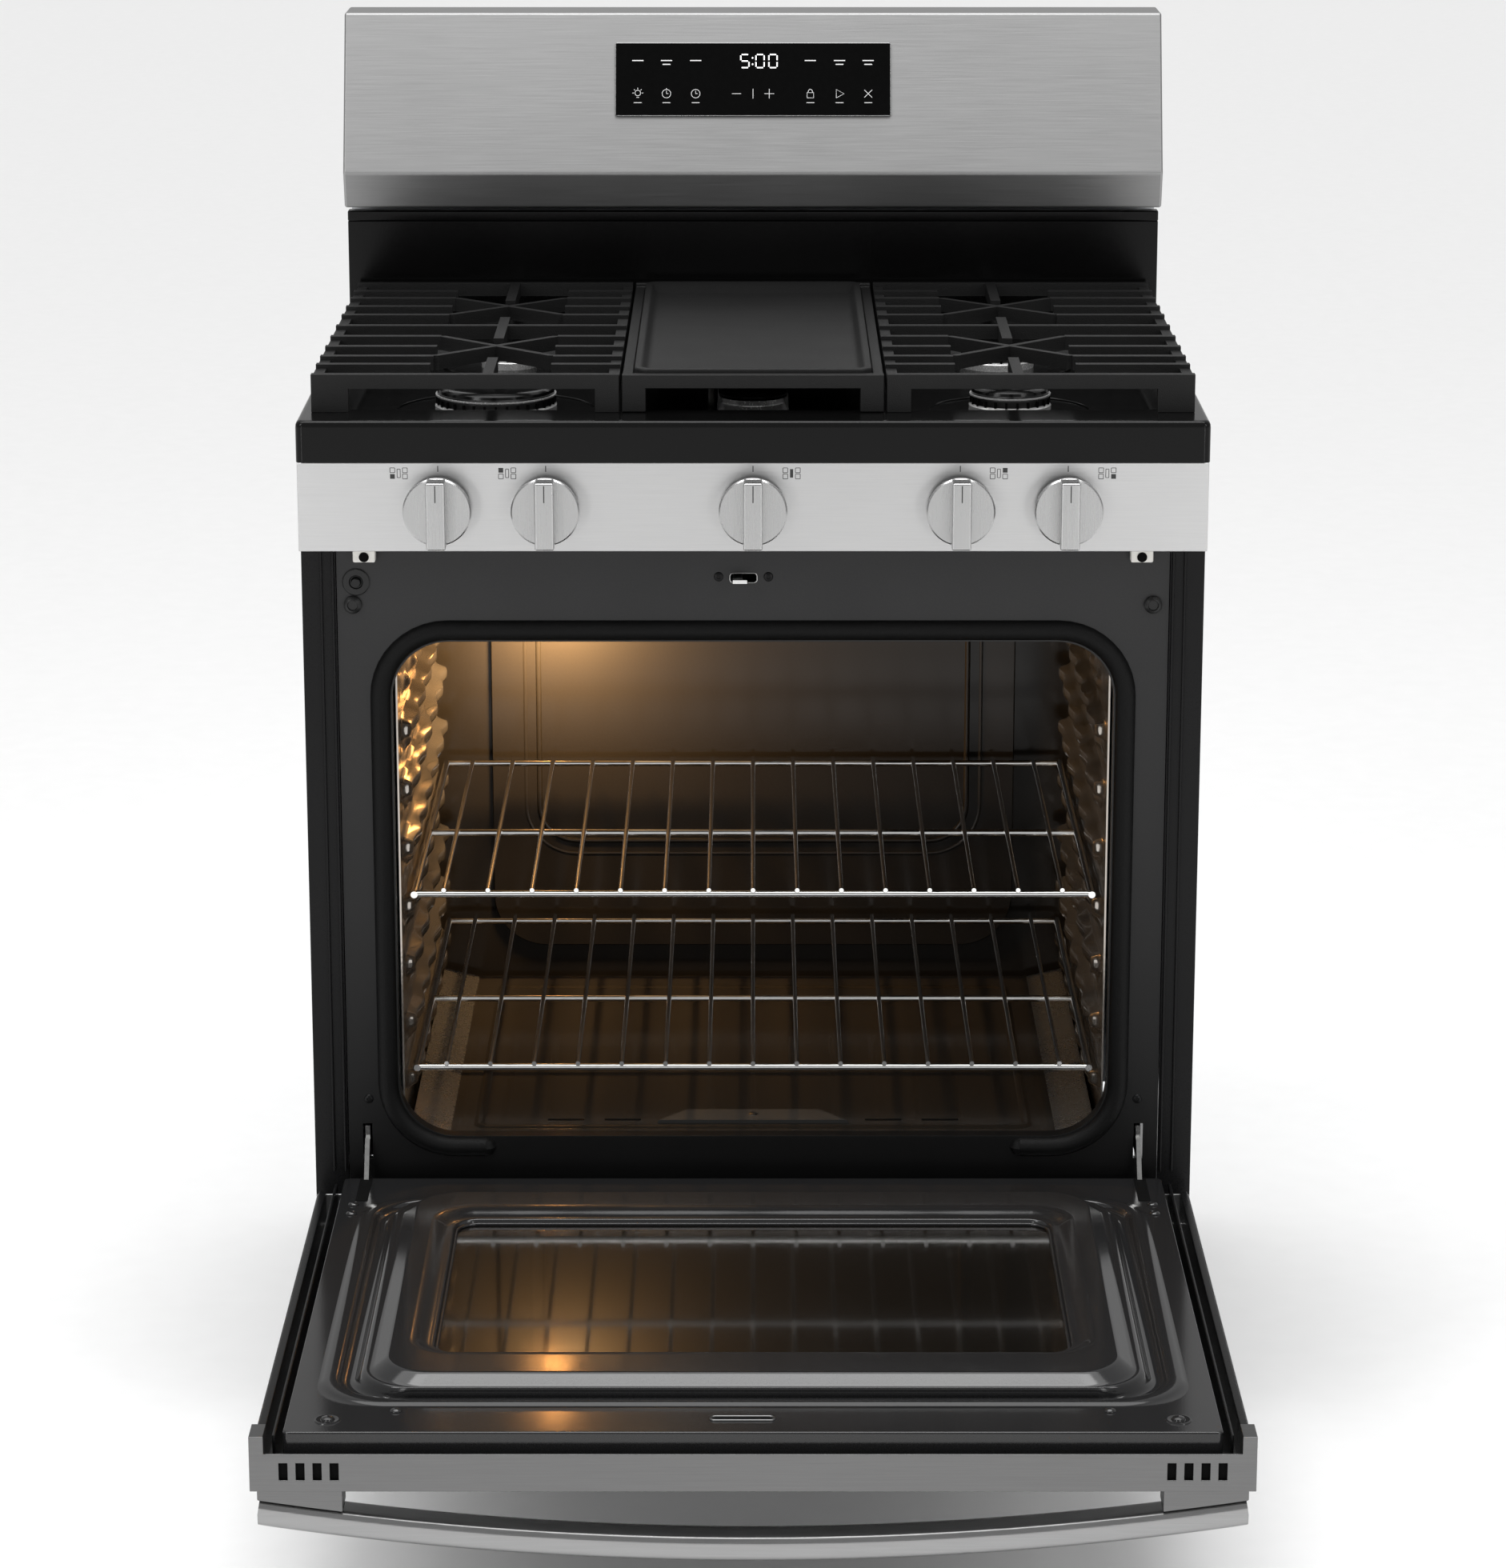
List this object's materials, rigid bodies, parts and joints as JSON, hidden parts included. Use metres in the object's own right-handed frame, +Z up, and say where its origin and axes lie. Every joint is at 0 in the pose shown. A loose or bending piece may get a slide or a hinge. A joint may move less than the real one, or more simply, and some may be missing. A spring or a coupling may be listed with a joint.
{
  "type": "freestanding gas range",
  "caption": "Freestanding gas range with sealed burners, cast grates, a griddle, drop-down oven door, wire racks, storage drawer and a rear control console.",
  "frame": {"origin": "on the floor under the middle of the range and its open door", "axes": "+Z up, the front faces -Y, +X to the right of someone in front of it"},
  "size_m": [0.762, 1.184, 1.195],
  "materials": {
    "side_enamel": "gloss enamel",
    "galvanised_steel": "galvanised sheet",
    "foot_plastic": "moulded",
    "frame_enamel": "satin porcelain enamel",
    "gasket_fibre": "braided seal",
    "oven_enamel": "gloss porcelain enamel",
    "lamp_glass": "lit dome",
    "stainless_rod": "bright",
    "rack_chrome": "plated wire",
    "cooktop_enamel": "gloss porcelain enamel",
    "burner_aluminium": "cast",
    "ceramic": "glazed",
    "cast_iron": "matte porcelain enamel",
    "stainless": "brushed",
    "knob_metal": "satin",
    "brass": "turned",
    "black_plastic": "moulded",
    "display_glass": "black touch glass",
    "door_glass": "tinted",
    "door_enamel": "gloss porcelain enamel"
  },
  "bodies": {
    "chassis": {"bake_burner": "galvanised_steel", "base_frame": "galvanised_steel", "broil_burner": "galvanised_steel", "burner_caps": "cooktop_enamel", "burner_heads": "burner_aluminium", "console_display": "display_glass", "console_shell": "stainless", "control_panel": "stainless", "cooktop": "cooktop_enamel", "cord_gland": "black_plastic", "frame_screws": "stainless_rod", "gas_manifold": "galvanised_steel", "gas_regulator": "burner_aluminium", "gas_valves": "galvanised_steel", "hinge_arms": "stainless_rod", "igniters": "ceramic", "levelling_feet": "foot_plastic", "oven_back": "oven_enamel", "oven_bottom_plate": "oven_enamel", "oven_floor": "oven_enamel", "oven_front_frame": "frame_enamel", "oven_gasket": "gasket_fibre", "oven_lamp": "lamp_glass", "oven_top": "oven_enamel", "oven_wall_left": "oven_enamel", "oven_wall_right": "oven_enamel", "rear_panel": "galvanised_steel", "riser_panel": "cooktop_enamel", "side_panel_left": "side_enamel", "side_panel_right": "side_enamel", "temperature_probe": "stainless_rod", "vent_trim": "cooktop_enamel"},
    "door": {"door_outer_panel": "stainless", "door_inner_panel": "door_enamel", "door_outer_glass": "door_glass", "door_inner_glass": "door_glass", "door_end_cap": "stainless", "door_handle": "stainless", "handle_posts": "stainless", "hinge_channels": "galvanised_steel"},
    "drawer": {"drawer_front": "stainless", "drawer_box": "galvanised_steel"},
    "rack_lower": {"oven_rack_lower": "rack_chrome"},
    "rack_upper": {"oven_rack_upper": "rack_chrome"},
    "grate_left": {"grate_left": "cast_iron"},
    "grate_centre": {"grate_centre": "cast_iron"},
    "grate_right": {"grate_right": "cast_iron"},
    "griddle": {"griddle": "cast_iron"},
    "latch": {"door_latch": "stainless_rod"},
    "lamp_button": {"lamp_switch": "black_plastic"},
    "stem_1": {"valve_stem_1": "brass"},
    "knob_1": {"knob_1": "knob_metal"},
    "stem_2": {"valve_stem_2": "brass"},
    "knob_2": {"knob_2": "knob_metal"},
    "stem_3": {"valve_stem_3": "brass"},
    "knob_3": {"knob_3": "knob_metal"},
    "stem_4": {"valve_stem_4": "brass"},
    "knob_4": {"knob_4": "knob_metal"},
    "stem_5": {"valve_stem_5": "brass"},
    "knob_5": {"knob_5": "knob_metal"}
  },
  "joints": [
    {"name": "door_hinge", "type": "hinge", "parent": "chassis", "child": "door", "pos_m": [0, -0.0195, 0.2225], "axis": [1, 0, 0], "range_deg": [-90, 0]},
    {"name": "drawer_slide", "type": "slide", "parent": "chassis", "child": "drawer", "axis": [0, -1, 0], "range_m": [0, 0.33]},
    {"name": "rack_lower_slide", "type": "slide", "parent": "chassis", "child": "rack_lower", "axis": [0, -1, 0], "range_m": [0, 0.3]},
    {"name": "rack_upper_slide", "type": "slide", "parent": "chassis", "child": "rack_upper", "axis": [0, -1, 0], "range_m": [0, 0.3]},
    {"name": "grate_left_lift", "type": "slide", "parent": "chassis", "child": "grate_left", "axis": [0, 0, 1], "range_m": [0, 0.03]},
    {"name": "grate_centre_lift", "type": "slide", "parent": "chassis", "child": "grate_centre", "axis": [0, 0, 1], "range_m": [0, 0.03]},
    {"name": "grate_right_lift", "type": "slide", "parent": "chassis", "child": "grate_right", "axis": [0, 0, 1], "range_m": [0, 0.03]},
    {"name": "griddle_lift", "type": "slide", "parent": "grate_centre", "child": "griddle", "axis": [0, 0, 1], "range_m": [0, 0.025]},
    {"name": "latch_swing", "type": "hinge", "parent": "chassis", "child": "latch", "pos_m": [-0.013, 0.055, 0.773], "axis": [0, 0, 1], "range_deg": [0, 12]},
    {"name": "lamp_button_press", "type": "slide", "parent": "chassis", "child": "lamp_button", "axis": [0, 1, 0], "range_m": [0, 0.004], "stiffness_N_per_m": 300},
    {"name": "knob_1_turn", "type": "hinge", "parent": "chassis", "child": "stem_1", "pos_m": [-0.2615, -0.03, 0.8425], "axis": [0, 1, 0], "range_deg": [0, 270]},
    {"name": "knob_1_press", "type": "slide", "parent": "stem_1", "child": "knob_1", "axis": [0, 1, 0], "range_m": [0, 0.003], "stiffness_N_per_m": 600},
    {"name": "knob_2_turn", "type": "hinge", "parent": "chassis", "child": "stem_2", "pos_m": [-0.172, -0.03, 0.8425], "axis": [0, 1, 0], "range_deg": [0, 270]},
    {"name": "knob_2_press", "type": "slide", "parent": "stem_2", "child": "knob_2", "axis": [0, 1, 0], "range_m": [0, 0.003], "stiffness_N_per_m": 600},
    {"name": "knob_3_turn", "type": "hinge", "parent": "chassis", "child": "stem_3", "pos_m": [0, -0.03, 0.8425], "axis": [0, 1, 0], "range_deg": [0, 270]},
    {"name": "knob_3_press", "type": "slide", "parent": "stem_3", "child": "knob_3", "axis": [0, 1, 0], "range_m": [0, 0.003], "stiffness_N_per_m": 600},
    {"name": "knob_4_turn", "type": "hinge", "parent": "chassis", "child": "stem_4", "pos_m": [0.172, -0.03, 0.8425], "axis": [0, 1, 0], "range_deg": [0, 270]},
    {"name": "knob_4_press", "type": "slide", "parent": "stem_4", "child": "knob_4", "axis": [0, 1, 0], "range_m": [0, 0.003], "stiffness_N_per_m": 600},
    {"name": "knob_5_turn", "type": "hinge", "parent": "chassis", "child": "stem_5", "pos_m": [0.2615, -0.03, 0.8425], "axis": [0, 1, 0], "range_deg": [0, 270]},
    {"name": "knob_5_press", "type": "slide", "parent": "stem_5", "child": "knob_5", "axis": [0, 1, 0], "range_m": [0, 0.003], "stiffness_N_per_m": 600}
  ]
}
